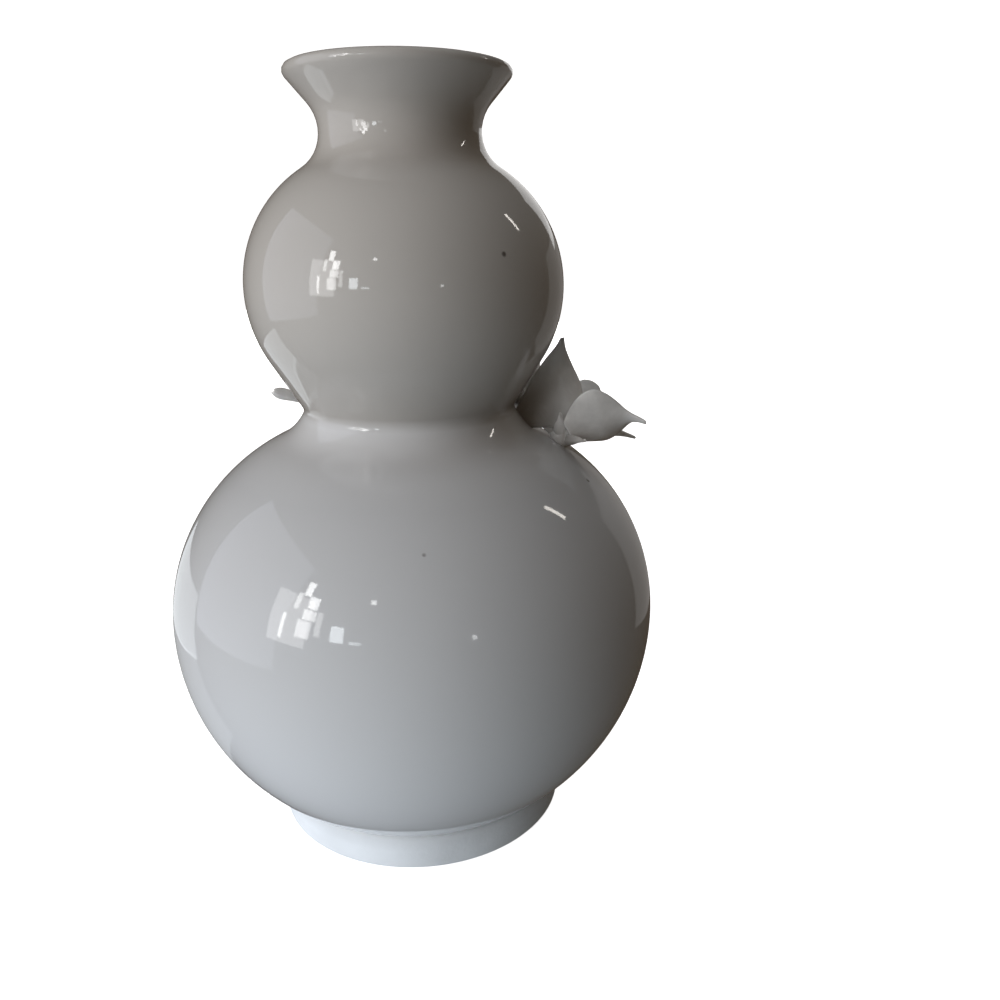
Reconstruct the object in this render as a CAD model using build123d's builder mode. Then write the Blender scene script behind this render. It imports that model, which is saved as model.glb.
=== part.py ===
from build123d import *
import os
from math import cos, hypot, radians, sin, sqrt

# A glazed double-gourd vase with a flower spray luted to its waist.
# Millimetres, Z up, origin at the centre of the ring that it stands on.

# Foot
foot_height = 17.9
foot_ground_radius = 61.8
foot_wall = 9.0
foot_step = 0.7
foot_chamfer = 1.2

# Belly, the lower bulb
base_radius = 65.4
belly_radius = 101.2
belly_rise = 74.0
shoulder_arc_radius = 81.5
floor_thickness = 8.0

# Head, the upper bulb, and the waist between the two
head_radius = 62.4
head_rise = 133.3
head_arc_radius = 52.2
waist_fillet = 13.0

# Neck and mouth
neck_radius = 30.8
neck_fillet = 15.3
flare_angle = 41.2
flare_length = 11.2

# Wall and the V-shaped luting seams between the thrown sections
wall = 5.0
tongue_height = 2.0

# Twig in the groove of the waist, from angle to angle round the vase
twig_radius = 3.2
luting_depth = 0.8
twig_start = 2.0
twig_end = 158.0

# Blossom: a receptacle on the shoulder, petals, sepals and stamens
blossom_angle = -6.0
blossom_facing = (0.45, 0.85, 0.27)
blossom_reach = 18.7
blossom_lift = 2.1
receptacle_radius = 4.6
receptacle_heel = 3.2
receptacle_depth = 4.0
receptacle_top = 3.0
stalk_radius = 2.4
tall_petal = {"length": 40, "width": 24.2, "ring": 4.2, "rise": 0, "swirl": 51, "curl": 75, "cup": 0.31}
broad_petal = {"length": 35.4, "width": 31.4, "ring": 4.2, "rise": 0, "swirl": 48.6, "curl": 89, "cup": 0.35}
inner_petal = {"length": 30.0, "width": 16.0, "ring": 3.2, "rise": 0, "swirl": 0, "curl": 20, "cup": 0.5}
slim_petal = {"length": 40, "width": 12.0, "ring": 3.2, "rise": 0, "swirl": 30, "curl": 50, "cup": 0.4}
sepal = {"length": 11.0, "width": 5.0, "ring": 1.0, "rise": -3, "swirl": 0, "curl": 30, "cup": 0.4}
petal_thickness = 2.0
petal_edge = 1.1
arched = 6
folded = 2
stamen_radius = 0.8
stamen_length = 16.0
stamen_column = 11.0
stamen_ring = 2.0
stamen_count = 5
strip_sides = 6

# Leaves
leaf = {"length": 27.0, "width": 13.0, "curl": 22.0, "cup": 0.4}
young_leaf = {"length": 20.0, "width": 6.2, "curl": 10.0, "cup": 0.4}

# Arc centres of the outline, as (radius, height)
belly_height = foot_height + belly_rise
head_height = belly_height + head_rise
belly_overhang = belly_radius - base_radius
bowl_arc_radius = (belly_overhang**2 + belly_rise**2) / (2 * belly_overhang)
bowl_centre = (belly_radius - bowl_arc_radius, belly_height)
shoulder_centre = (belly_radius - shoulder_arc_radius, belly_height)
head_centre = (head_radius - head_arc_radius, head_height)


def outer_touch(first, first_radius, second, second_radius):
    """Point at the two given distances from two centres, on the side away from the vase's axis."""
    across = second[0] - first[0]
    up = second[1] - first[1]
    span = hypot(across, up)
    along = (first_radius**2 - second_radius**2 + span**2) / (2 * span)
    aside = sqrt(first_radius**2 - along**2)
    return (
        first[0] + (along * across + aside * up) / span,
        first[1] + (along * up - aside * across) / span,
    )


waist_centre = outer_touch(
    shoulder_centre, shoulder_arc_radius + waist_fillet, head_centre, head_arc_radius + waist_fillet
)
waist_radius = waist_centre[0] - waist_fillet
waist_height = waist_centre[1]
neck_reach = neck_radius + neck_fillet - head_centre[0]
neck_rise = sqrt((head_arc_radius + neck_fillet) ** 2 - neck_reach**2)
neck_height = head_height + neck_rise
neck_centre = (neck_radius + neck_fillet, neck_height)


def toward(centre, target, distance):
    """Point on the line from one centre to another, at a distance from the first."""
    span = hypot(target[0] - centre[0], target[1] - centre[1])
    share = distance / span
    return (
        centre[0] + share * (target[0] - centre[0]),
        centre[1] + share * (target[1] - centre[1]),
    )


def crown(centre, start, end, radius):
    """Point of an arc midway between its ends, on the ends' side of the centre."""
    middle = ((start[0] + end[0]) / 2, (start[1] + end[1]) / 2)
    return toward(centre, middle, radius)


def skin(depth):
    """Outline points of the wall at a depth under the glaze, from the base to the flare's top."""
    flare = radians(flare_angle)
    neck_arc = neck_fillet + depth
    flare_start = (neck_centre[0] - neck_arc * cos(flare), neck_height + neck_arc * sin(flare))
    flare_end = (
        flare_start[0] + flare_length * sin(flare),
        flare_start[1] + flare_length * cos(flare),
    )
    return {
        "belly": (belly_radius - depth, belly_height),
        "shoulder_end": toward(shoulder_centre, waist_centre, shoulder_arc_radius - depth),
        "head_start": toward(head_centre, waist_centre, head_arc_radius - depth),
        "head_end": toward(head_centre, neck_centre, head_arc_radius - depth),
        "flare_start": flare_start,
        "flare_end": flare_end,
    }


def wall_line(depth, base):
    """Edges of one side of the wall, bottom to top, from a start point on the bowl's arc."""
    at = skin(depth)
    waist = (waist_radius - depth, waist_height)
    head = (head_radius - depth, head_height)
    neck = crown(neck_centre, at["head_end"], at["flare_start"], neck_fillet + depth)
    bowl = crown(bowl_centre, base, at["belly"], bowl_arc_radius - depth)
    shoulder = crown(shoulder_centre, at["belly"], at["shoulder_end"], shoulder_arc_radius - depth)
    ThreePointArc(base, bowl, at["belly"])
    ThreePointArc(at["belly"], shoulder, at["shoulder_end"])
    ThreePointArc(at["shoulder_end"], waist, at["head_start"])
    ThreePointArc(at["head_start"], head, at["head_end"])
    ThreePointArc(at["head_end"], neck, at["flare_start"])
    Line(at["flare_start"], at["flare_end"])


def bowl_radius_at(height, depth):
    """Radius of the bowl's arc at a height, at a depth under the glaze."""
    return bowl_centre[0] + sqrt((bowl_arc_radius - depth) ** 2 - (belly_height - height) ** 2)


floor_height = foot_height + floor_thickness
floor_radius = bowl_radius_at(floor_height, wall)
lip_outside = skin(0)["flare_end"]
lip_inside = skin(wall)["flare_end"]
lip_middle = ((lip_outside[0] + lip_inside[0]) / 2, (lip_outside[1] + lip_inside[1]) / 2)
lip_crown = (
    lip_middle[0] + wall / 2 * sin(radians(flare_angle)),
    lip_middle[1] + wall / 2 * cos(radians(flare_angle)),
)
vase_height = lip_middle[1] + wall / 2

# Seams, as (outer radius, inner radius, height)
foot_seam = (base_radius - foot_step, base_radius - foot_step - foot_wall, foot_height)
belly_seam = (belly_radius, belly_radius - wall, belly_height)
waist_seam = (waist_radius, waist_radius - wall, waist_height)
neck_seam = (neck_radius, neck_radius - wall, neck_height)
clear_radius = 1.5 * belly_radius


def seam_points(seam):
    """Points of a V seam, from the axis out past the wall."""
    outer, inner, height = seam
    tongue = ((outer + inner) / 2, height + tongue_height)
    return [(0, height), (inner, height), tongue, (outer, height), (clear_radius, height)]


def thrown_section(lower, upper):
    """The part of the wall between two seams, turned about the axis."""
    with BuildPart() as section:
        with BuildSketch(Plane.XZ):
            with BuildLine():
                wall_line(0, (base_radius, foot_height))
                wall_line(wall, (floor_radius, floor_height))
                ThreePointArc(lip_outside, lip_crown, lip_inside)
                Line((floor_radius, floor_height), (0, floor_height))
                Line((0, floor_height), (0, foot_height))
                Line((0, foot_height), (base_radius, foot_height))
            make_face()
            with BuildLine():
                Polyline(*lower, *reversed(upper), close=True)
            make_face(mode=Mode.INTERSECT)
        revolve(axis=Axis.Z)
    return section.part


def write(piece, name):
    """Label a finished piece and write it as its own file."""
    piece.label = name
    export_step(piece, f"parts/{name}.step")


os.makedirs("parts", exist_ok=True)

# Foot ring, bare clay, with a V tongue into the bowl's base
with BuildPart() as foot_ring:
    with BuildSketch(Plane.XZ):
        with BuildLine():
            foot_top_outer, foot_top_inner, _ = foot_seam
            ground_inner = foot_ground_radius - foot_wall
            foot_tongue = ((foot_top_outer + foot_top_inner) / 2, foot_height + tongue_height)
            Polyline(
                (foot_top_inner, foot_height),
                foot_tongue,
                (foot_top_outer, foot_height),
                (foot_ground_radius, 0),
                (ground_inner, 0),
                close=True,
            )
        make_face()
    revolve(axis=Axis.Z)
    ground_edges = foot_ring.edges().group_by(Axis.Z)[0]
    chamfer(ground_edges, foot_chamfer)
write(foot_ring.part, "foot_ring")

# The four thrown sections of the body
top_edge = [(0, vase_height + wall), (clear_radius, vase_height + wall)]
lower_bowl = thrown_section(seam_points(foot_seam), seam_points(belly_seam))
lower_shoulder = thrown_section(seam_points(belly_seam), seam_points(waist_seam))
upper_globe = thrown_section(seam_points(waist_seam), seam_points(neck_seam))
flared_mouth = thrown_section(seam_points(neck_seam), top_edge)
write(lower_bowl, "lower_bowl")
write(lower_shoulder, "lower_shoulder")
write(upper_globe, "upper_globe")
write(flared_mouth, "flared_mouth")


def around(angle, radius, height):
    """Point at an angle round the vase, counted from +X towards +Y."""
    return Vector(radius * cos(radians(angle)), radius * sin(radians(angle)), height)


def heading(angle, outward, sideways, upward):
    """Direction at an angle round the vase, from its outward, sideways and upward parts."""
    out = around(angle, 1, 0)
    side = around(angle + 90, 1, 0)
    return (out * outward + side * sideways + Vector(0, 0, 1) * upward).normalized()


# Twig, pressed into the groove of the waist
twig_reach = waist_radius + twig_radius - luting_depth
with BuildPart() as twig:
    with BuildSketch(Plane.XZ.rotated((0, 0, twig_start))):
        with Locations((twig_reach, waist_height)):
            Circle(twig_radius)
    revolve(axis=Axis.Z, revolution_arc=twig_end - twig_start)
    add(lower_shoulder, mode=Mode.SUBTRACT)
    add(upper_globe, mode=Mode.SUBTRACT)
write(twig.part, "twig")
body = [lower_shoulder, upper_globe, twig.part]

# A blade is a thin cupped section, lofted along an arc. Petals, sepals and leaves are blades.
# Each row is a share of the length and the share of the full width there.
pointed = [(0.0, 0.5), (0.2, 0.94), (0.45, 0.96), (0.7, 0.5), (0.88, 0.17), (1.0, 0.05)]
domed = [(0.0, 0.36), (0.2, 0.88), (0.44, 1.1), (0.62, 0.76), (0.78, 0.26), (0.9, 0.11), (1.0, 0.05)]
rounded = [(0.0, 0.36), (0.3, 0.76), (0.62, 1.0), (0.86, 0.84), (1.0, 0.4)]


def crescent(half, sag, middle, facets):
    """Section of a blade: a crescent of flat facets, thickest at its middle, with blunt edges."""
    across = [half * (2 * step / facets - 1) for step in range(facets + 1)]
    hollow = sag + petal_edge - middle
    outer = [(sag * (1 - (y / half) ** 2), y) for y in across]
    inner = [(hollow * (1 - (y / half) ** 2) - petal_edge, y) for y in reversed(across)]
    Polyline(*outer, *inner, close=True)


def blade(root, sizes, stations, facets, cutters):
    """Lofted blade along the root plane's Z, bulging to its X side and curling to it."""
    bend_radius = sizes["length"] / radians(sizes["curl"])
    with BuildPart() as piece:
        for share, width_share in stations:
            turn = sizes["curl"] * share
            out = bend_radius * (1 - cos(radians(turn)))
            along = bend_radius * sin(radians(turn))
            half = sizes["width"] * width_share / 2
            middle = petal_edge + (petal_thickness - petal_edge) * width_share
            with BuildSketch(Plane(root * Pos(out, 0, along) * Rot(0, turn, 0))):
                with BuildLine():
                    crescent(half, sizes["cup"] * half, middle, facets)
                make_face()
        loft()
        for cutter in cutters:
            add(cutter, mode=Mode.SUBTRACT)
    return piece.part.solids().sort_by(SortBy.VOLUME)[-1]


# Blossom seat on the shoulder: Z along the blossom's axis, X on its upper side
seat_reach = waist_radius + blossom_reach
seat_rise = sqrt(shoulder_arc_radius**2 - (seat_reach - shoulder_centre[0]) ** 2)
seat_centre = around(blossom_angle, seat_reach, belly_height + seat_rise + blossom_lift)
blossom_axis = heading(blossom_angle, *blossom_facing)
upper_side = Vector(0, 0, 1) - blossom_axis * blossom_axis.Z
seat = Plane(seat_centre, x_dir=upper_side, z_dir=blossom_axis)

with BuildPart() as receptacle:
    with BuildSketch(Plane(seat * Rot(90, 0, 0))):
        with BuildLine():
            Polyline(
                (0, -receptacle_depth),
                (receptacle_heel, -receptacle_depth),
                (receptacle_radius, 0),
                (receptacle_heel, receptacle_top),
                (0, receptacle_top),
                close=True,
            )
        make_face()
    revolve(axis=Axis(seat.origin, seat.z_dir))
    for cutter in body:
        add(cutter, mode=Mode.SUBTRACT)
write(receptacle.part, "receptacle")

stalk_foot = around(twig_start, twig_reach, waist_height)
stalk_line = seat_centre - stalk_foot
with BuildPart() as stalk:
    with BuildSketch(Plane(stalk_foot, z_dir=stalk_line)):
        Circle(stalk_radius)
    extrude(amount=stalk_line.length)
    for cutter in body + [receptacle.part]:
        add(cutter, mode=Mode.SUBTRACT)
write(stalk.part, "stalk")

with BuildPart() as stamens:
    with BuildSketch(seat):
        RegularPolygon(stamen_ring, strip_sides)
    extrude(amount=stamen_column)
    with BuildSketch(seat):
        with PolarLocations(stamen_ring - stamen_radius, stamen_count):
            RegularPolygon(stamen_radius, strip_sides)
    extrude(amount=stamen_length)
    for cutter in [receptacle.part, stalk.part, lower_shoulder]:
        add(cutter, mode=Mode.SUBTRACT)
write(stamens.part, "stamens")

# Petals and sepals: each stands at a turn round the blossom's axis and leans away from it
stances = [
    ("inner_petal_1", inner_petal, rounded, folded, 16, 11),
    ("slim_petal", slim_petal, pointed, folded, 107, 12),
    ("inner_petal_2", inner_petal, rounded, folded, 300, 6),
    ("tall_petal", tall_petal, pointed, arched, -27, 43),
    ("broad_petal", broad_petal, domed, arched, 52, 37),
    ("sepal_1", sepal, pointed, folded, 6, 62),
    ("sepal_2", sepal, pointed, folded, 92, 60),
]
seated = body + [receptacle.part, stalk.part, stamens.part]
for name, sizes, stations, facets, turn, lean in stances:
    ring = seat * Rot(0, 0, turn) * Pos(sizes["ring"], 0, sizes["rise"])
    root = Plane(ring * Rot(0, lean, 0) * Rot(0, 0, sizes["swirl"]))
    petal = blade(root, sizes, stations, facets, seated)
    write(petal, name)
    seated.append(petal)

# Leaves along the twig: each at an angle round the vase, with its outward, sideways and upward parts
leaves = [
    ("left_leaf", young_leaf, rounded, 158, 0.5, 1.0, 0.45),
    ("standing_leaf", leaf, pointed, 12, 0.5, -0.1, 0.85),
    ("slanting_leaf", leaf, pointed, 106, 0.5, 0.5, 0.7),
    ("drooping_leaf", leaf, pointed, 34, 0.8, 0.1, -0.5),
    ("hanging_leaf", leaf, pointed, 120, 0.8, 0.1, -0.5),
]
for name, sizes, stations, angle, outward, sideways, upward in leaves:
    growth = heading(angle, outward, sideways, upward)
    under = Vector(0, 0, -1) - around(angle, 1, 0)
    root = Plane(around(angle, twig_reach, waist_height), x_dir=under, z_dir=growth)
    grown = blade(root, sizes, stations, folded, seated)
    write(grown, name)
    seated.append(grown)
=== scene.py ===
from math import asin, atan2, cos, hypot, pi, radians, sin, sqrt
from typing import NamedTuple

import bmesh
import bpy
from bpy.props import FloatProperty, FloatVectorProperty, IntProperty, PointerProperty
from bpy.types import Operator, Panel, PropertyGroup
from mathutils import Matrix, Vector, noise


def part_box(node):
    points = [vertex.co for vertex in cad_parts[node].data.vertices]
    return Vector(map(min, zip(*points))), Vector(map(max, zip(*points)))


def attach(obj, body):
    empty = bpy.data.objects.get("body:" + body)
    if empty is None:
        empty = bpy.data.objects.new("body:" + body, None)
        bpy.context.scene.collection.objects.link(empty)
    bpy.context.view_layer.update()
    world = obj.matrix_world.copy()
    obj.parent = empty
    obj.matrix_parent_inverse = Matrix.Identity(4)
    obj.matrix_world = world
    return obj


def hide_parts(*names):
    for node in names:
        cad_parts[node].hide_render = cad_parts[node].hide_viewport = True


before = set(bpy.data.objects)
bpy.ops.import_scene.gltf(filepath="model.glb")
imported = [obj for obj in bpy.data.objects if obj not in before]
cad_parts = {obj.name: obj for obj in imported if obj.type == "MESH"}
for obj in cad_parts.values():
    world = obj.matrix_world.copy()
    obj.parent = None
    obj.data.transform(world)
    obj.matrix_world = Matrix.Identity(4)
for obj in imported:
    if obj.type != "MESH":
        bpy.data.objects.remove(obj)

bl_info = {
    "name": "Gourd vase",
    "version": (1, 0, 0),
    "blender": (4, 5, 0),
    "location": "View3D > Sidebar > Vase",
    "description": "Builds a glazed double-gourd vase with a flower spray, and the stage that it stands on",
    "category": "Add Mesh",
}


def length(name, description, default):
    """A length property in metres."""
    return FloatProperty(
        name=name, description=description, default=default, min=0.0, unit="LENGTH", precision=4
    )


def colour(name, description, default):
    """A linear colour property."""
    return FloatVectorProperty(
        name=name, description=description, default=default, min=0.0, max=1.0, size=3, subtype="COLOR"
    )


def share(name, description, default):
    """A plain factor from 0 to 1."""
    return FloatProperty(
        name=name, description=description, default=default, min=0.0, max=1.0, subtype="FACTOR"
    )


def angle(name, description, degrees):
    """An angle property, given in degrees and kept in radians."""
    return FloatProperty(name=name, description=description, default=radians(degrees), subtype="ANGLE")


class VaseSizes(PropertyGroup):
    """Sizes of the thrown body and its foot."""

    base_radius: length("Base", "Radius of the bowl where it meets the foot", 0.0654)
    shoulder_arc: length("Shoulder arc", "Arc radius of the lower bulb above its belly", 0.0815)
    head_height: length("Head height", "Height of the widest ring of the upper bulb", 0.2252)
    head_arc: length("Head arc", "Arc radius of the upper bulb", 0.0522)
    waist_fillet: length("Waist fillet", "Arc radius of the waist inside, and of the spray's seat", 0.013)
    crease_radius: length("Crease", "Radius of the crease between the bulbs", 0.0425)
    crease_height: length("Crease height", "Height of the crease between the bulbs", 0.178)
    crease_round: length("Crease rounding", "Rounding of the glaze in the crease", 0.002)
    collar_arc: length("Collar arc", "Arc radius of the shoulder where it rises to the crease", 0.025)
    neck_radius: length("Neck", "Radius of the narrowest ring of the neck", 0.0308)
    neck_fillet: length("Neck fillet", "Arc radius of the neck", 0.0153)
    flare_angle: angle("Flare", "Lean of the mouth from upright", 41.2)
    flare_length: length("Flare length", "Straight part of the mouth", 0.0112)
    wall: length("Wall", "Thickness of the thrown wall", 0.005)
    floor: length("Floor", "Thickness of the bowl's floor", 0.008)
    glaze_bead: length("Glaze bead", "Rounding of the glaze where it ends over the foot", 0.0014)
    foot_ground: length("Foot ground radius", "Outer radius of the ring that the vase stands on", 0.0618)
    foot_top: length("Foot top radius", "Outer radius of the foot under the bowl", 0.0647)
    foot_wall: length("Foot wall", "Thickness of the foot ring", 0.009)
    foot_round: length("Foot rounding", "Rounding of the ground edges", 0.0013)
    outline_step: length("Outline step", "Spacing of points along the outline", 0.0025)
    turns: IntProperty(name="Turns", description="Facets round the vase", default=160, min=24, max=400)


class SpraySizes(PropertyGroup):
    """Sizes of the twig, the blossom and the leaves."""

    twig_radius: length("Twig", "Radius of the twig", 0.0032)
    luting: length("Luting", "Depth that the twig is pressed into the waist", 0.0008)
    twig_start: angle("Twig start", "Where the twig starts round the vase", 2.0)
    twig_end: angle("Twig end", "Where the twig ends round the vase", 158.0)
    stalk_radius: length("Stalk", "Radius of the blossom's stalk", 0.0024)
    blossom_angle: angle("Blossom place", "Where the blossom sits round the vase", -6.0)
    blossom_reach: length("Blossom reach", "How far outside the waist the blossom sits", 0.0187)
    blossom_lift: length("Blossom lift", "Height of the blossom over the shoulder", 0.0021)
    receptacle: length("Receptacle", "Radius of the lump that the petals grow from", 0.0046)
    pistil_length: length("Pistil", "Length of the pistil", 0.011)
    pistil_foot: length("Pistil foot", "Radius of the pistil at its foot", 0.002)
    pistil_top: length("Pistil top", "Radius of the pistil at its top", 0.0014)
    stamens: IntProperty(name="Stamens", description="How many stamens there are", default=5, min=1, max=20)
    stamen_ring: length("Stamen ring", "Radius of the ring that the stamens stand on", 0.0012)
    stamen_rise: length("Stamen rise", "Height of a stamen's middle over the receptacle's", 0.012)
    stamen_length: length("Stamen length", "Length of a stamen", 0.006)
    stamen_foot: length("Stamen foot", "Radius of a stamen at its foot", 0.0005)
    stamen_top: length("Stamen top", "Radius of a stamen at its top", 0.0004)
    knob: length("Knob", "Radius of the knob on a stamen", 0.0008)
    knob_rise: length("Knob rise", "Height of a knob over the middle of its stamen", 0.0032)
    petal_thickness: length("Petal thickness", "Thickness of a petal at its middle", 0.0019)
    ripple: length("Ripple", "Waviness of the petals' edges", 0.0006)


class VaseColours(PropertyGroup):
    """Colours of the glaze, the bare clay, the spray and the stage."""

    # Glaze colour with painted cool, bright light on the lower bulb.
    glaze_low_cool_lit: colour("Glaze, low", "Colour of the glaze on the lower bulb", (0.583, 0.589, 0.602))
    # Painted light: a paler band of glaze colour just under the crease.
    glaze_collar_lit: colour("Glaze, collar", "Colour of the glaze just under the crease", (0.67, 0.675, 0.685))
    # Painted shade: darker glaze colour on the underside just over the crease.
    glaze_under_shaded: colour("Glaze, under", "Colour of the glaze just over the crease", (0.45, 0.432, 0.41))
    # Painted dimmer, warmer light on the glaze from the head's middle up.
    glaze_high_warm_shaded: colour("Glaze, high", "Colour of the glaze from the head's middle up", (0.528, 0.506, 0.48))
    glaze_speck: colour("Specks", "Colour of the iron specks", (0.06, 0.045, 0.035))
    gloss: share("Roughness", "Roughness of the glaze", 0.045)
    biscuit: colour("Biscuit", "Colour of the bare clay of the foot", (0.745, 0.765, 0.79))
    spray: colour("Spray", "Colour of the glaze on the spray", (0.783, 0.776, 0.763))
    spray_edge: colour("Spray edges", "Colour where the glaze runs thin on edges", (0.87, 0.86, 0.84))
    # Painted shade at the roots of the blades, and the darkening towards their tips.
    spray_shade: colour("Spray shade", "Colour where the glaze pools in hollows", (0.11, 0.105, 0.095))
    floor: colour("Floor", "Colour of the floor", (0.9, 0.9, 0.9))
    ambient: colour("Ambient", "Colour of the dim light from all round", (0.062, 0.046, 0.031))


def outer_touch(first, first_radius, second, second_radius):
    """Point at the two given distances from two centres, on the side away from the vase's axis."""
    across, up = second[0] - first[0], second[1] - first[1]
    span = hypot(across, up)
    along = (first_radius**2 - second_radius**2 + span**2) / (2 * span)
    aside = sqrt(first_radius**2 - along**2)
    return (first[0] + (along * across + aside * up) / span, first[1] + (along * up - aside * across) / span)


def tangent_point(point, centre, radius):
    """Point where a line from a given point touches a circle, on the side away from the vase's axis."""
    span = hypot(centre[0] - point[0], centre[1] - point[1])
    return outer_touch(point, sqrt(span**2 - radius**2), centre, radius)


def bearing(start, end):
    """Direction from one outline point to another, from the radius towards the height."""
    return atan2(end[1] - start[1], end[0] - start[0])


# Fewest steps in an arc of an outline, and the distance within which a turned mesh's points are merged.
FEWEST_STEPS = 6
MERGE_DISTANCE = 1e-6


class Outline:
    """Half outline in the XZ plane, drawn from a start point and then turned about the Z axis."""

    def __init__(self, start, step):
        self.mesh = bmesh.new()
        self.step = step
        self.tip = bmesh.ops.create_vert(self.mesh, co=(start[0], 0, start[1]))["vert"][0]

    def arc(self, centre, turn):
        """Go on along an arc about a centre, anticlockwise where the turn is positive."""
        radius = hypot(self.tip.co.x - centre[0], self.tip.co.z - centre[1])
        made = bmesh.ops.spin(
            self.mesh,
            geom=[self.tip],
            cent=(centre[0], 0, centre[1]),
            axis=(0, -1, 0),
            angle=turn,
            steps=max(FEWEST_STEPS, round(abs(turn) * radius / self.step)),
        )
        self.tip = [part for part in made["geom_last"] if isinstance(part, bmesh.types.BMVert)][0]

    def line(self, target, steps=1):
        """Go on straight to a target point."""
        move = (Vector((target[0], 0, target[1])) - self.tip.co) / steps
        for _ in range(steps):
            made = bmesh.ops.extrude_vert_indiv(self.mesh, verts=[self.tip])
            self.tip = made["verts"][0]
            bmesh.ops.translate(self.mesh, verts=[self.tip], vec=move)

    def turned(self, steps):
        """Turn the outline once round the Z axis and return the mesh."""
        bmesh.ops.spin(
            self.mesh,
            geom=self.mesh.verts[:] + self.mesh.edges[:],
            cent=(0, 0, 0),
            axis=(0, 0, 1),
            angle=2 * pi,
            steps=steps,
            use_merge=True,
        )
        bmesh.ops.remove_doubles(self.mesh, verts=self.mesh.verts[:], dist=MERGE_DISTANCE)
        bmesh.ops.recalc_face_normals(self.mesh, faces=self.mesh.faces[:])
        return self.mesh


# A ring's edges are level within LEVEL, lie at its height within NEAR and turn by more than CORNER.
LEVEL = 1e-7
NEAR = 1e-4
CORNER = radians(20)
ROUNDING_STEPS = 4


def round_ring(mesh, height, offset):
    """Round the level corner edges of a turned mesh at one height."""
    corners = []
    for edge in mesh.edges:
        first, second = edge.verts
        level = abs(first.co.z - second.co.z) < LEVEL
        placed = abs(first.co.z - height) < NEAR
        if level and placed and edge.calc_face_angle(0) > CORNER:
            corners.append(edge)
    bmesh.ops.bevel(
        mesh,
        geom=corners,
        offset=offset,
        segments=ROUNDING_STEPS,
        profile=0.5,
        affect="EDGES",
        material=-1,
    )


def mesh_object(mesh, name, material):
    """Make a smooth object of a finished mesh."""
    data = bpy.data.meshes.new(name)
    mesh.to_mesh(data)
    mesh.free()
    data.polygons.foreach_set("use_smooth", [True] * len(data.polygons))
    data.materials.append(material)
    made = bpy.data.objects.new(name, data)
    bpy.context.scene.collection.objects.link(made)
    return made


def settle(mesh, name, material, nodes):
    """Make a piece of a finished mesh, put it on the vase's body and let it stand for its CAD nodes."""
    piece = mesh_object(mesh, name, material_of(material))
    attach(piece, "root")
    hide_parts(*nodes)
    return piece


def settle_spray(mesh, name, node):
    """Settle a piece of the spray, which stands for one CAD node."""
    return settle(mesh, name, "spray glaze", [node])


def new_material(name):
    """A new material with its node tree, its Principled shader and the object's own coordinates."""
    made = bpy.data.materials.new(name)
    made.use_nodes = True
    tree = made.node_tree
    shader = tree.nodes["Principled BSDF"]
    place = tree.nodes.new("ShaderNodeTexCoord").outputs["Object"]
    return made, tree, shader, place


def noise_value(tree, place, scale, detail):
    """Noise over the object's own coordinates."""
    node = tree.nodes.new("ShaderNodeTexNoise")
    node.inputs["Scale"].default_value = scale
    node.inputs["Detail"].default_value = detail
    tree.links.new(place, node.inputs["Vector"])
    return node.outputs["Fac"]


def height_value(tree, place):
    """Height of each point of the surface."""
    node = tree.nodes.new("ShaderNodeSeparateXYZ")
    tree.links.new(place, node.inputs["Vector"])
    return node.outputs["Z"]


def mesh_value(tree, name):
    """Value that the mesh itself carries at each of its points."""
    node = tree.nodes.new("ShaderNodeAttribute")
    node.attribute_name = name
    return node.outputs["Fac"]


def spread(tree, value, low, high):
    """Stretch part of a value's range to 0 to 1."""
    node = tree.nodes.new("ShaderNodeMapRange")
    node.inputs["From Min"].default_value = low
    node.inputs["From Max"].default_value = high
    tree.links.new(value, node.inputs["Value"])
    return node.outputs["Result"]


def mixed(tree, factor, first, second):
    """Mix two colours, each a plain colour or another node's output."""
    node = tree.nodes.new("ShaderNodeMix")
    node.data_type = "RGBA"
    tree.links.new(factor, node.inputs["Factor"])
    sockets = [socket for socket in node.inputs if socket.type == "RGBA"]
    for socket, value in zip(sockets, (first, second)):
        if isinstance(value, bpy.types.NodeSocket):
            tree.links.new(value, socket)
        else:
            socket.default_value = (*value, 1.0)
    return [socket for socket in node.outputs if socket.type == "RGBA"][0]


def bumped(tree, shader, value, distance, strength):
    """Let a value raise the surface a little."""
    node = tree.nodes.new("ShaderNodeBump")
    node.inputs["Strength"].default_value = strength
    node.inputs["Distance"].default_value = distance
    tree.links.new(value, node.inputs["Height"])
    tree.links.new(node.outputs["Normal"], shader.inputs["Normal"])


def darkened(tint, part_left):
    """A colour with only part of its light left."""
    return tuple(part_left * part for part in tint)


def iron_specks(tree, place):
    """Factor that is 1 in a few small dots and 0 elsewhere."""
    cells = tree.nodes.new("ShaderNodeTexVoronoi")
    cells.inputs["Scale"].default_value = 42.0
    tree.links.new(place, cells.inputs["Vector"])
    dots = spread(tree, cells.outputs["Distance"], low=0.055, high=0.03)
    few = spread(tree, noise_value(tree, place, scale=31.0, detail=0.0), low=0.62, high=0.66)
    product = tree.nodes.new("ShaderNodeMath")
    product.operation = "MULTIPLY"
    tree.links.new(dots, product.inputs[0])
    tree.links.new(few, product.inputs[1])
    return product.outputs["Value"]


# Heights from the crease, in metres, between which one colour of the glaze turns into the next; the colours
# carry painted light and shade.
COLLAR_FADE = (-0.024, -0.006)
CREASE_FADE = (-0.0025, 0.0025)
HEAD_FADE = (0.005, 0.047)


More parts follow.
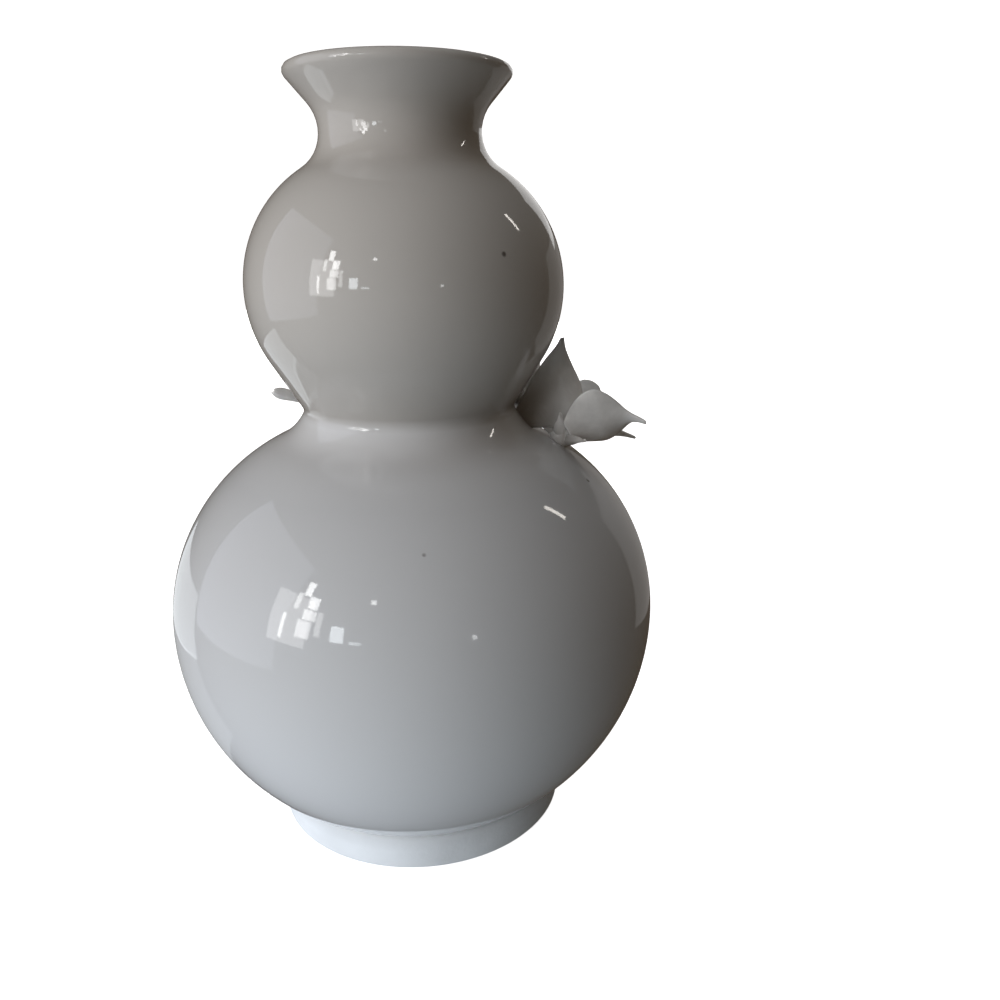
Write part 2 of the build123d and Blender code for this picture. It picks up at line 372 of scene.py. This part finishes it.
def glaze_material(name, colours):
    """Glossy glaze with painted light by height: cool and pale on the lower bulb, paler under the crease,
    painted shade just over it and dimmer, browner light from the head's middle up; with slow waves and a few
    iron specks.
    """
    made, tree, shader, place = new_material(name)
    height = height_value(tree, place)
    crease = bpy.context.scene.vase_sizes.crease_height

    def faded(heights, first, second):
        """One colour below two heights from the crease and another above them."""
        low, high = heights
        return mixed(tree, spread(tree, height, crease + low, crease + high), first, second)

    # These fades paint light and shade: cool light low, a light band under the crease, shade over it and warm
    # dim light high.
    lower = faded(COLLAR_FADE, colours.glaze_low_cool_lit, colours.glaze_collar_lit)
    upper = faded(HEAD_FADE, colours.glaze_under_shaded, colours.glaze_high_warm_shaded)
    plain = faded(CREASE_FADE, lower, upper)
    specked = mixed(tree, iron_specks(tree, place), plain, colours.glaze_speck)
    tree.links.new(specked, shader.inputs["Base Color"])
    shader.inputs["Roughness"].default_value = colours.gloss
    shader.inputs["IOR"].default_value = 1.52
    waves = noise_value(tree, place, scale=26.0, detail=2.0)
    bumped(tree, shader, waves, distance=0.0012, strength=0.12)
    return made


# Heights on the foot, in metres, between which the bare clay takes on the glaze's colour, as a wash of glaze
# and as painted shade under the bowl.
FOOT_SHADE_AND_WASH = (0.009, 0.021)


def biscuit_material(name, colours):
    """Bare clay: pale and dull, with faint stains, a fine grain, and at its top a wash of glaze colour that
    also paints the shade under the bowl.
    """
    made, tree, shader, place = new_material(name)
    stain = spread(tree, noise_value(tree, place, scale=30.0, detail=3.0), low=0.4, high=0.75)
    clay = mixed(tree, stain, colours.biscuit, darkened(colours.biscuit, 0.86))
    # Painted shade under the bowl, with a wash of glaze: the top of the foot turns to the lower glaze's
    # colour.
    shade_and_wash = spread(tree, height_value(tree, place), *FOOT_SHADE_AND_WASH)
    tree.links.new(mixed(tree, shade_and_wash, clay, colours.glaze_low_cool_lit), shader.inputs["Base Color"])
    shader.inputs["Roughness"].default_value = 0.75
    shader.inputs["IOR"].default_value = 1.45
    grain = noise_value(tree, place, scale=420.0, detail=4.0)
    bumped(tree, shader, grain, distance=0.0004, strength=0.35)
    return made


def spray_material(name, colours):
    """Semi-gloss glaze of the spray, paler where it runs thin over edges, with painted shade at the blades'
    roots and darker towards their tips.
    """
    made, tree, shader, place = new_material(name)
    edge, shade_and_tip = mesh_value(tree, "edge"), mesh_value(tree, "shade_and_tip")
    # Painted shade at the blades' roots and darkening towards their tips, carried on the mesh.
    shade_and_tip_colour = mixed(tree, shade_and_tip, colours.spray, colours.spray_shade)
    thin = mixed(tree, edge, shade_and_tip_colour, colours.spray_edge)
    patches = spread(tree, noise_value(tree, place, scale=160.0, detail=3.0), low=0.35, high=0.8)
    streaks = mixed(tree, patches, thin, darkened(colours.spray, 0.8))
    tree.links.new(mixed(tree, shade_and_tip, streaks, shade_and_tip_colour), shader.inputs["Base Color"])
    shader.inputs["Roughness"].default_value = 0.14
    shader.inputs["IOR"].default_value = 1.5
    lumps = noise_value(tree, place, scale=300.0, detail=2.0)
    bumped(tree, shader, lumps, distance=0.0005, strength=0.25)
    return made


MATERIALS = {"pale glaze": glaze_material, "bare clay": biscuit_material, "spray glaze": spray_material}


def material_of(name):
    """The named material, made the first time that it is asked for."""
    if name not in bpy.data.materials:
        MATERIALS[name](name, bpy.context.scene.vase_colours)
    return bpy.data.materials[name]


def body_arcs(sizes):
    """Centres of the outline's arcs from the base to the neck, the turn of each, and the bowl's radius."""
    belly_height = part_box("lower_shoulder")[0].z
    foot_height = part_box("lower_bowl")[0].z
    belly_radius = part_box("lower_bowl")[1].x
    head_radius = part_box("upper_globe")[1].x
    overhang = belly_radius - sizes.base_radius
    rise = belly_height - foot_height
    bowl_arc = (overhang**2 + rise**2) / (2 * overhang)
    bowl = (belly_radius - bowl_arc, belly_height)
    shoulder = (belly_radius - sizes.shoulder_arc, belly_height)
    head = (head_radius - sizes.head_arc, sizes.head_height)
    waist = outer_touch(
        shoulder, sizes.shoulder_arc + sizes.waist_fillet, head, sizes.head_arc + sizes.waist_fillet
    )
    neck_x = sizes.neck_radius + sizes.neck_fillet
    neck_rise = sqrt((sizes.head_arc + sizes.neck_fillet) ** 2 - (neck_x - head[0]) ** 2)
    neck = (neck_x, sizes.head_height + neck_rise)
    lower, upper, top = bearing(shoulder, waist), bearing(head, waist), bearing(head, neck)
    base_turn = -bearing(bowl, (sizes.base_radius, foot_height))
    turns = [base_turn, lower, upper - lower, top - upper, -sizes.flare_angle - top]
    return [bowl, shoulder, waist, head, neck], turns, bowl_arc


class VASE_OT_body(Operator):
    """Build the thrown and glazed body, from the base to the lip and down the inside"""

    bl_idname = "vase.body"
    bl_label = "Glazed body"

    def execute(self, context):
        sizes = context.scene.vase_sizes
        centres, turns, bowl_arc = body_arcs(sizes)
        bowl, shoulder, _, head, neck = centres
        foot_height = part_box("lower_bowl")[0].z
        floor_height = foot_height + sizes.floor
        crease = (sizes.crease_radius, sizes.crease_height)
        collar = outer_touch(shoulder, sizes.shoulder_arc + sizes.collar_arc, crease, sizes.collar_arc)
        touch = tangent_point(crease, head, sizes.head_arc)
        outline = Outline((0, foot_height), sizes.outline_step)
        outline.line((sizes.base_radius, foot_height))
        outline.arc(bowl, turns[0])
        outline.arc(shoulder, bearing(shoulder, collar))
        outline.arc(collar, bearing(crease, collar) - bearing(shoulder, collar))
        outline.line(touch, steps=8)
        outline.arc(head, bearing(head, neck) - bearing(head, touch))
        outline.arc(neck, turns[-1])
        lean, run, wall = sizes.flare_angle, sizes.flare_length, sizes.wall
        start = (outline.tip.co.x, outline.tip.co.z)
        lip = (start[0] + run * sin(lean), start[1] + run * cos(lean))
        outline.line(lip, steps=4)
        outline.arc((lip[0] - wall / 2 * cos(lean), lip[1] + wall / 2 * sin(lean)), pi)
        outline.line((start[0] - wall * cos(lean), start[1] + wall * sin(lean)), steps=4)
        # The inside shows only through the mouth, so its points are wider apart.
        outline.step = 2 * sizes.outline_step
        for centre, turn in reversed(list(zip(centres[1:], turns[1:]))):
            outline.arc(centre, -turn)
        outline.arc(bowl, -asin((bowl[1] - floor_height) / (bowl_arc - wall)))
        outline.line((0, floor_height), steps=6)
        mesh = outline.turned(sizes.turns)
        round_ring(mesh, foot_height, sizes.glaze_bead)
        round_ring(mesh, sizes.crease_height, sizes.crease_round)
        sections = ["lower_bowl", "lower_shoulder", "upper_globe", "flared_mouth"]
        settle(mesh, "glazed_body", "pale glaze", sections)
        return {"FINISHED"}


class VASE_OT_foot(Operator):
    """Build the ring of bare clay that the vase stands on"""

    bl_idname = "vase.foot"
    bl_label = "Foot ring"

    def execute(self, context):
        sizes = context.scene.vase_sizes
        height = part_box("lower_bowl")[0].z
        outline = Outline((sizes.foot_top - sizes.foot_wall, height), sizes.outline_step)
        outline.line((sizes.foot_ground - sizes.foot_wall, 0), steps=4)
        outline.line((sizes.foot_ground, 0))
        outline.line((sizes.foot_top, height), steps=6)
        outline.line((sizes.foot_top - sizes.foot_wall, height))
        mesh = outline.turned(sizes.turns)
        round_ring(mesh, 0, sizes.foot_round)
        settle(mesh, "turned_foot", "bare clay", ["foot_ring"])
        return {"FINISHED"}


UP = Vector((0, 0, 1))


def around(turn, radius, height):
    """Point at an angle round the vase, counted from +X towards +Y."""
    return Vector((radius * cos(turn), radius * sin(turn), height))


def heading(turn, outward, sideways, upward):
    """Direction at an angle round the vase, from its outward, sideways and upward parts."""
    out, side = around(turn, 1, 0), around(turn + pi / 2, 1, 0)
    return (out * outward + side * sideways + UP * upward).normalized()


def frame_at(origin, across, along):
    """Matrix with its Z along one direction and its X as near as can be to another."""
    z = along.normalized()
    x = (across - z * across.dot(z)).normalized()
    turned = Matrix((x, z.cross(x), z)).transposed().to_4x4()
    return Matrix.Translation(origin) @ turned


def twig_ring(sizes, spray):
    """Radius and height of the twig's middle line, in the groove between the bulbs."""
    centres, _, _ = body_arcs(sizes)
    waist = centres[2]
    return waist[0] - sizes.waist_fillet + spray.twig_radius - spray.luting, waist[1]


# Outward, sideways and upward parts of the way that the blossom faces.
BLOSSOM_FACING = (0.45, 0.85, 0.27)


def blossom_seat(sizes, spray):
    """Matrix of the blossom: its Z along the blossom's axis, its X on the upper side."""
    centres, _, _ = body_arcs(sizes)
    shoulder, waist = centres[1], centres[2]
    reach = waist[0] - sizes.waist_fillet + spray.blossom_reach
    height = shoulder[1] + sqrt(sizes.shoulder_arc**2 - (reach - shoulder[0]) ** 2)
    centre = around(spray.blossom_angle, reach, height + spray.blossom_lift)
    return frame_at(centre, UP, heading(spray.blossom_angle, *BLOSSOM_FACING))


# Shares of the twig's radius: at its start, lost by its end, and added by its knots and its grain.
TWIG_FULLNESS = 0.9
TWIG_TAPER = 0.16
KNOT_SWELL = 0.12
GRAIN_DEPTH = 0.1
# Spaces between the knots, sharpness of the knots, and lumps of grain in a metre.
KNOT_SPACES = 7
KNOT_POWER = 8
GRAIN_SCALE = 400
# Radius of the stalk under the blossom as a share of its radius at the twig.
STALK_TAPER = 0.8


class VASE_OT_twig(Operator):
    """Build the twig in the groove of the waist and the blossom's stalk"""

    bl_idname = "vase.twig"
    bl_label = "Twig and stalk"

    def execute(self, context):
        sizes, spray = context.scene.vase_sizes, context.scene.vase_spray
        reach, height = twig_ring(sizes, spray)
        start, sweep = spray.twig_start, spray.twig_end - spray.twig_start
        foot = around(start, reach, height)
        mesh = bmesh.new()
        ring = bmesh.ops.create_circle(
            mesh,
            cap_ends=False,
            segments=16,
            radius=spray.twig_radius,
            matrix=frame_at(foot, UP, around(start + pi / 2, 1, 0)),
        )
        bmesh.ops.spin(
            mesh, geom=ring["verts"] + mesh.edges[:], cent=(0, 0, 0), axis=(0, 0, 1), angle=sweep, steps=72
        )
        bmesh.ops.holes_fill(mesh, edges=mesh.edges[:], sides=0)
        for vert in mesh.verts:
            turn = atan2(vert.co.y, vert.co.x)
            middle = around(turn, reach, height)
            along = (turn - start) / sweep
            knot = max(0.0, cos(2 * pi * KNOT_SPACES * along)) ** KNOT_POWER
            grain = noise.noise(vert.co * GRAIN_SCALE)
            fullness = TWIG_FULLNESS - TWIG_TAPER * along + KNOT_SWELL * knot + GRAIN_DEPTH * grain
            vert.co = middle + (vert.co - middle) * fullness
        bmesh.ops.recalc_face_normals(mesh, faces=mesh.faces[:])
        settle_spray(mesh, "knotted_twig", "twig")

        run = blossom_seat(sizes, spray).translation - foot
        mesh = bmesh.new()
        bmesh.ops.create_cone(
            mesh,
            cap_ends=True,
            segments=16,
            radius1=spray.stalk_radius,
            radius2=STALK_TAPER * spray.stalk_radius,
            depth=run.length,
            matrix=frame_at(foot + run / 2, UP, run),
        )
        settle_spray(mesh, "blossom_stalk", "stalk")
        return {"FINISHED"}


class BladeShape(NamedTuple):
    """Form of a petal, sepal or leaf: lengths in metres, angles in degrees and the rest as shares."""

    length: float
    width: float
    # Angle that it bends along its length, and height of its cup as a share of its half width.
    curl: float
    cup: float
    # Distance of its root from the blossom's axis, height of its root and twist about its own midrib.
    ring: float = 0.0
    rise: float = 0.0
    swirl: float = 0.0
    # Widening of one side of its root, and how far its root is set down from the twig's middle line.
    skirt: float = 0.0
    drop: float = 0.0
    # Darkness of the painted shade at its root, and of the darkening towards its tip.
    pool: float = 0.5
    tip: float = 0.0


# Each row is a share of a blade's length and the share of its full width there.
POINTED = [(0.0, 0.5), (0.2, 0.94), (0.45, 0.96), (0.7, 0.5), (0.88, 0.17), (1.0, 0.05)]
DOMED = [(0.0, 0.36), (0.2, 0.88), (0.44, 1.1), (0.62, 0.76), (0.78, 0.26), (0.9, 0.11), (1.0, 0.05)]
ROUNDED = [(0.0, 0.36), (0.3, 0.76), (0.62, 1.0), (0.86, 0.84), (1.0, 0.4)]


def width_at(stations, along):
    """Width share at a share of the length, on a smooth line through the stations."""
    last = len(stations) - 1
    slot = max(i for i in range(last) if stations[i][0] <= along or i == 0)

    def slope(i):
        """Slope of the line at a station, from its neighbours."""
        before, after = stations[max(i - 1, 0)], stations[min(i + 1, last)]
        return (after[1] - before[1]) / (after[0] - before[0])

    (start, first), (end, second) = stations[slot], stations[slot + 1]
    span = end - start
    t = (along - start) / span
    ease = 3 * t**2 - 2 * t**3
    leaving = slope(slot) * span * (t - 2 * t**2 + t**3)
    arriving = slope(slot + 1) * span * (t**3 - t**2)
    return first + (second - first) * ease + leaving + arriving


# Powers of the distance from the midrib: a folded blade has a ridge there and a cupped one is round.
FOLD_POWER = 1.2
CUP_POWER = 2
# Ripple: radians along a blade, from one blade to the next and across, and power towards the edges.
RIPPLE_ALONG = 9
RIPPLE_SHIFT = 2.1
RIPPLE_ACROSS = 1.3
RIPPLE_POWER = 1.5
# Skirt: share of the length that it reaches up, and power of its fall.
SKIRT_REACH = 0.45
SKIRT_POWER = 1.5
# Thin glaze: powers towards the side edges and towards the tip.
EDGE_POWER = 5
EDGE_TIP_POWER = 12
# Painted shade at the root: its fall along the length, share at the midrib and lean to one side; and power of
# the darkening at the tip.
ROOT_SHADE_FALL = 1.45
ROOT_SHADE_MIDDLE = 0.55
ROOT_SHADE_LEAN = 0.45
DARK_TIP_POWER = 5
# Thickness: loss of its weight at the edges and the tip, powers of that loss, and the share at no weight.
THINNING = 0.7
THIN_EDGE_POWER = 3
THIN_TIP_POWER = 6
LEAST_THICKNESS = 0.3


def blade(node, root, shape, stations, fold, spray, seed):
    """Build a petal, sepal or leaf: a cupped grid that bends along an arc, thick in its middle."""
    mesh = bmesh.new()
    edge = mesh.verts.layers.float.new("edge")
    shade_and_tip = mesh.verts.layers.float.new("shade_and_tip")
    group = mesh.verts.layers.deform.verify()
    bmesh.ops.create_grid(mesh, x_segments=18, y_segments=10, size=1)
    curl = radians(shape.curl)
    bend = shape.length / curl
    ridge = FOLD_POWER if fold else CUP_POWER
    for vert in mesh.verts:
        along, side = (vert.co.x + 1) / 2, vert.co.y
        off = abs(side)
        turn = curl * along
        half = shape.width * width_at(stations, along) / 2
        phase = RIPPLE_ALONG * along + RIPPLE_SHIFT * seed + RIPPLE_ACROSS * side
        wave = sin(phase) * spray.ripple * along * off**RIPPLE_POWER
        bulge = shape.cup * half * (1 - off**ridge) - spray.petal_thickness / 2 + wave
        skirt = shape.skirt * max(0, -side) * max(0, 1 - along / SKIRT_REACH) ** SKIRT_POWER
        where = Matrix.Translation((bend * (1 - cos(turn)), 0, bend * sin(turn)))
        vert.co = root @ where @ Matrix.Rotation(turn, 4, "Y") @ Vector((bulge, half * side - skirt, 0))
        # Painted shade at the root, darker on one side.
        pool = shape.pool * max(0, 1 - ROOT_SHADE_FALL * along) * (ROOT_SHADE_MIDDLE - ROOT_SHADE_LEAN * side)
        vert[edge] = max(off**EDGE_POWER, along**EDGE_TIP_POWER)
        # Painted root shade or darkening towards the tip, whichever is darker.
        vert[shade_and_tip] = max(pool, shape.tip * along**DARK_TIP_POWER)
        vert[group][0] = 1 - THINNING * max(off**THIN_EDGE_POWER, along**THIN_TIP_POWER)
    bmesh.ops.recalc_face_normals(mesh, faces=mesh.faces[:])
    piece = settle_spray(mesh, f"shaped_{node}", node)
    piece.vertex_groups.new(name="thickness")
    shell = piece.modifiers.new("thickness", "SOLIDIFY")
    shell.thickness = spray.petal_thickness
    shell.offset = 0
    shell.vertex_group = "thickness"
    shell.thickness_vertex_group = LEAST_THICKNESS
    finer = piece.modifiers.new("smooth", "SUBSURF")
    finer.levels = 1
    finer.render_levels = 1


TALL_PETAL = BladeShape(
    length=0.04, width=0.0242, curl=75, cup=0.31, ring=0.0042, swirl=51, skirt=0.013, pool=0.95, tip=0.75
)
BROAD_PETAL = BladeShape(
    length=0.0354, width=0.0314, curl=89, cup=0.35, ring=0.0042, swirl=48.6, pool=0.0, tip=0.5
)
INNER_PETAL = BladeShape(length=0.03, width=0.016, curl=20, cup=0.5, ring=0.0032)
SLIM_PETAL = BladeShape(length=0.04, width=0.012, curl=50, cup=0.4, ring=0.0032, swirl=30)
SEPAL = BladeShape(length=0.011, width=0.005, curl=30, cup=0.4, ring=0.001, rise=-0.003, pool=1.2)

# Each row is a node, its shape, its width stations, whether it is folded,
# and its turn about the blossom's axis and its lean outwards in degrees.
PETALS = [
    ("inner_petal_1", INNER_PETAL, ROUNDED, True, 16, 11),
    ("slim_petal", SLIM_PETAL, POINTED, True, 107, 12),
    ("inner_petal_2", INNER_PETAL, ROUNDED, True, 300, 6),
    ("tall_petal", TALL_PETAL, POINTED, False, -27, 43),
    ("broad_petal", BROAD_PETAL, DOMED, False, 52, 37),
    ("sepal_1", SEPAL, POINTED, True, 6, 62),
    ("sepal_2", SEPAL, POINTED, True, 92, 60),
]
# Height of the receptacle as a share of its width.
RECEPTACLE_HEIGHT = 0.85


class VASE_OT_blossom(Operator):
    """Build the blossom: receptacle, stamens, petals and sepals"""

    bl_idname = "vase.blossom"
    bl_label = "Blossom"

    def execute(self, context):
        spray = context.scene.vase_spray
        seat = blossom_seat(context.scene.vase_sizes, spray)
        mesh = bmesh.new()
        bmesh.ops.create_uvsphere(
            mesh,
            u_segments=24,
            v_segments=14,
            radius=spray.receptacle,
            matrix=seat @ Matrix.Diagonal((1, 1, RECEPTACLE_HEIGHT, 1)),
        )
        settle_spray(mesh, "blossom_receptacle", "receptacle")

        mesh = bmesh.new()
        bmesh.ops.create_cone(
            mesh,
            cap_ends=True,
            segments=12,
            radius1=spray.pistil_foot,
            radius2=spray.pistil_top,
            depth=spray.pistil_length,
            matrix=seat @ Matrix.Translation((0, 0, spray.pistil_length / 2)),
        )
        for number in range(spray.stamens):
            spoke = seat @ Matrix.Rotation(number * 2 * pi / spray.stamens, 4, "Z")
            middle = spoke @ Matrix.Translation((spray.stamen_ring, 0, spray.stamen_rise))
            bmesh.ops.create_cone(
                mesh,
                cap_ends=True,
                segments=8,
                radius1=spray.stamen_foot,
                radius2=spray.stamen_top,
                depth=spray.stamen_length,
                matrix=middle,
            )
            knob = middle @ Matrix.Translation((0, 0, spray.knob_rise))
            bmesh.ops.create_icosphere(mesh, subdivisions=2, radius=spray.knob, matrix=knob)
        settle_spray(mesh, "blossom_stamens", "stamens")

        for number, (node, shape, stations, fold, turn, lean) in enumerate(PETALS):
            root = (
                seat
                @ Matrix.Rotation(radians(turn), 4, "Z")
                @ Matrix.Translation((shape.ring, 0, shape.rise))
                @ Matrix.Rotation(radians(lean), 4, "Y")
                @ Matrix.Rotation(radians(shape.swirl), 4, "Z")
            )
            blade(node, root, shape, stations, fold, spray, number)
        return {"FINISHED"}


LEAF = BladeShape(length=0.027, width=0.013, curl=22, cup=0.4)
YOUNG_LEAF = BladeShape(length=0.02, width=0.0056, curl=10, cup=0.4, drop=0.0025)

# Each row is a node, its shape, its width stations, its angle round the vase in degrees,
# and the outward, sideways and upward parts of the way that it grows.
LEAVES = [
    ("left_leaf", YOUNG_LEAF, ROUNDED, 158, 0.5, 1.0, 0.5),
    ("standing_leaf", LEAF, POINTED, 12, 0.5, -0.1, 0.85),
    ("slanting_leaf", LEAF, POINTED, 106, 0.5, 0.5, 0.7),
    ("drooping_leaf", LEAF, POINTED, 34, 0.8, 0.1, -0.5),
    ("hanging_leaf", LEAF, POINTED, 120, 0.8, 0.1, -0.5),
]
# Ripple seed of the first leaf, past those of the petals.
LEAF_SEED = 10


class VASE_OT_leaves(Operator):
    """Build the leaves along the twig"""

    bl_idname = "vase.leaves"
    bl_label = "Leaves"

    def execute(self, context):
        spray = context.scene.vase_spray
        reach, height = twig_ring(context.scene.vase_sizes, spray)
        for number, (node, shape, stations, degrees, *growth) in enumerate(LEAVES):
            turn = radians(degrees)
            under = -UP - around(turn, 1, 0)
            root = frame_at(around(turn, reach, height - shape.drop), under, heading(turn, *growth))
            blade(node, root, shape, stations, True, spray, LEAF_SEED + number)
        return {"FINISHED"}


WHITE = (1.0, 1.0, 1.0)
COOL = (0.9, 0.96, 1.0)
WARM = (1.0, 0.95, 0.88)


class Lamp(NamedTuple):
    """A soft rectangular lamp that faces the vase."""

    name: str
    # Degrees from +Y towards +X, and degrees up from level.
    azimuth: float
    elevation: float
    # Metres from the middle of the vase, and metres across and up.
    distance: float
    wide: float
    high: float
    # Brightness and colour of its face.
    radiance: float
    tint: tuple = WHITE


# Lamps that light the vase and don't show in its gloss.
LIGHTING = [
    Lamp("key light", -121, 13, 2.0, 1.9, 1.2, 4.65, (0.985, 0.99, 1.0)),
    Lamp("low fill", -110, -50, 0.3, 0.25, 0.25, 1.15, (0.76, 0.86, 1.0)),
    Lamp("front fill", -165, -35, 0.4, 0.3, 0.3, 1.2, (0.76, 0.9, 1.0)),
    Lamp("back light", 65, 45, 2.0, 1.1, 1.1, 0.8),
    Lamp("back fill", 10, 10, 2.0, 1.6, 1.6, 3.6),
    Lamp("top light", 0, 88, 2.0, 1.1, 1.1, 1.7, (0.82, 0.92, 1.0)),
]
# Lamps that only show in its gloss.
REFLECTIONS = [
    Lamp("key sheet", -122, 12, 1.6, 0.52, 0.66, 2.9),
    Lamp("key panel 1", -127, 27.5, 1.5, 0.09, 0.17, 12.0),
    Lamp("key panel 2", -131.5, 22, 1.5, 0.12, 0.15, 11.0),
    Lamp("key panel 3", -131, 16, 1.5, 0.16, 0.13, 8.0),
    Lamp("key panel 4", -129.5, 9, 1.5, 0.17, 0.21, 6.5),
    Lamp("key panel 5", -123.5, 21, 1.5, 0.06, 0.2, 6.0),
    Lamp("key panel 6", -119.5, 8, 1.5, 0.045, 0.3, 9.0),
    Lamp("key panel 7", -136, 13, 1.5, 0.07, 0.3, 4.0),
    Lamp("side panel", -145, 10, 1.5, 0.15, 0.2, 8.0, COOL),
    Lamp("side strip", -153, 7, 1.5, 0.14, 0.04, 5.0, COOL),
    Lamp("spot", -159, 28, 1.5, 0.06, 0.06, 10.0),
    Lamp("far spot", 156, 8, 1.5, 0.05, 0.06, 6.0),
    Lamp("right strip", 77, 36, 1.5, 0.05, 0.26, 9.0, WARM),
    Lamp("left rim", -58, -18, 0.38, 0.24, 0.13, 1.0, COOL),
    Lamp("low rim", -51, -38, 0.41, 0.32, 0.16, 0.3, COOL),
    Lamp("right rim", 42, -5, 1.5, 1.0, 1.0, 0.2),
    Lamp("high rim", 22, 19, 1.5, 0.85, 0.5, 0.9),
    Lamp("left sheet", -92, 14, 1.7, 1.7, 1.8, 0.8, (0.82, 0.86, 1.0)),
]
# Point that every lamp faces.
LAMP_TARGET = Vector((0, 0, 0.15))


def hang(lamp, diffuse, glossy):
    """Hang a lamp so that it faces the vase, out of the camera's sight."""
    data = bpy.data.lights.new(lamp.name, "AREA")
    data.shape = "RECTANGLE"
    data.size = lamp.wide
    data.size_y = lamp.high
    data.energy = lamp.radiance * pi * lamp.wide * lamp.high
    data.color = lamp.tint
    made = bpy.data.objects.new(lamp.name, data)
    azimuth, elevation = radians(lamp.azimuth), radians(lamp.elevation)
    back = Vector((sin(azimuth) * cos(elevation), cos(azimuth) * cos(elevation), sin(elevation)))
    level = Vector((back.y, -back.x, 0))
    made.matrix_world = frame_at(LAMP_TARGET + back * lamp.distance, level, back)
    made.visible_camera = False
    made.visible_diffuse = diffuse
    made.visible_glossy = glossy
    bpy.context.scene.collection.objects.link(made)


# Floor, in metres: radius of its flat part, radius of its bend, height of its wall and spacing of its points.
FLOOR_RADIUS = 2.0
FLOOR_BEND = 0.6
FLOOR_HEIGHT = 2.6
FLOOR_STEP = 0.05
# Facets round the floor.
FLOOR_TURNS = 96


def lay_floor(colours):
    """Lay a pale floor that bends up into a wall all round; it shows to the camera and lights nothing."""
    outline = Outline((0, 0), FLOOR_STEP)
    outline.line((FLOOR_RADIUS, 0), steps=4)
    outline.arc((FLOOR_RADIUS, FLOOR_BEND), pi / 2)
    outline.line((FLOOR_RADIUS + FLOOR_BEND, FLOOR_HEIGHT), steps=2)
    mesh = outline.turned(FLOOR_TURNS)
    if sum(face.normal.z for face in mesh.faces) < 0:
        bmesh.ops.reverse_faces(mesh, faces=mesh.faces[:])
    pale, tree, shader, place = new_material("floor")
    cloud = noise_value(tree, place, scale=3.0, detail=1.0)
    tone = mixed(tree, cloud, colours.floor, darkened(colours.floor, 0.97))
    tree.links.new(tone, shader.inputs["Base Color"])
    shader.inputs["Roughness"].default_value = 0.9
    shader.inputs["Emission Color"].default_value = (1, 1, 1, 1)
    shader.inputs["Emission Strength"].default_value = 0.9
    floor = mesh_object(mesh, "floor", pale)
    floor.visible_diffuse = False
    floor.visible_glossy = False
    floor.visible_shadow = False


# Camera: its place in metres, its sensor and lens in millimetres,
# and how far it looks down, looks to the right and leans about its line of sight.
CAMERA_PLACE = (0, -0.368, 0.2484)
CAMERA_SENSOR = 36
CAMERA_LENS = 32.4
CAMERA_PITCH = radians(16.97)
CAMERA_YAW = radians(5.72)
CAMERA_ROLL = radians(-0.37)


def place_camera(scene):
    """Stand the camera close in front of the vase, level with its upper bulb."""
    data = bpy.data.cameras.new("camera")
    data.sensor_width = CAMERA_SENSOR
    data.lens = CAMERA_LENS
    camera = bpy.data.objects.new("camera", data)
    scene.collection.objects.link(camera)
    pitch, yaw, roll = CAMERA_PITCH, CAMERA_YAW, CAMERA_ROLL
    ahead = Vector((sin(yaw) * cos(pitch), cos(yaw) * cos(pitch), -sin(pitch)))
    right = Vector((cos(yaw), -sin(yaw), 0))
    up = right.cross(ahead)
    axes = Matrix((cos(roll) * right + sin(roll) * up, cos(roll) * up - sin(roll) * right, -ahead))
    camera.matrix_world = Matrix.Translation(CAMERA_PLACE) @ axes.transposed().to_4x4()
    scene.camera = camera


class VASE_OT_stage(Operator):
    """Set the pale floor, the soft lamps and the camera"""

    bl_idname = "vase.stage"
    bl_label = "Stage"

    def execute(self, context):
        scene, colours = context.scene, context.scene.vase_colours
        lay_floor(colours)
        world = bpy.data.worlds.new("ambient")
        world.use_nodes = True
        world.node_tree.nodes["Background"].inputs["Color"].default_value = (*colours.ambient, 1)
        scene.world = world
        for lamp in LIGHTING:
            hang(lamp, diffuse=True, glossy=False)
        for lamp in REFLECTIONS:
            hang(lamp, diffuse=False, glossy=True)
        place_camera(scene)
        scene.view_settings.view_transform = "Standard"
        return {"FINISHED"}


class VASE_PT_panel(Panel):
    """Sidebar panel with the vase's sizes, colours and builders"""

    bl_idname = "VASE_PT_panel"
    bl_label = "Gourd vase"
    bl_space_type = "VIEW_3D"
    bl_region_type = "UI"
    bl_category = "Vase"

    def draw(self, context):
        for group in (context.scene.vase_sizes, context.scene.vase_spray, context.scene.vase_colours):
            box = self.layout.box()
            for name in group.bl_rna.properties.keys():
                if name not in ("rna_type", "name"):
                    box.prop(group, name)
        for builder in BUILDERS:
            self.layout.operator(builder.bl_idname)


BUILDERS = (VASE_OT_body, VASE_OT_foot, VASE_OT_twig, VASE_OT_blossom, VASE_OT_leaves, VASE_OT_stage)
CLASSES = (VaseSizes, SpraySizes, VaseColours, *BUILDERS, VASE_PT_panel)


def register():
    for item in CLASSES:
        bpy.utils.register_class(item)
    bpy.types.Scene.vase_sizes = PointerProperty(type=VaseSizes)
    bpy.types.Scene.vase_spray = PointerProperty(type=SpraySizes)
    bpy.types.Scene.vase_colours = PointerProperty(type=VaseColours)


def unregister():
    del bpy.types.Scene.vase_colours
    del bpy.types.Scene.vase_spray
    del bpy.types.Scene.vase_sizes
    for item in reversed(CLASSES):
        bpy.utils.unregister_class(item)


def main():
    register()
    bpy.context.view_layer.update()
    bpy.ops.vase.body()
    bpy.ops.vase.foot()
    bpy.ops.vase.twig()
    bpy.ops.vase.blossom()
    bpy.ops.vase.leaves()
    bpy.ops.vase.stage()


if __name__ == "__main__":
    main()
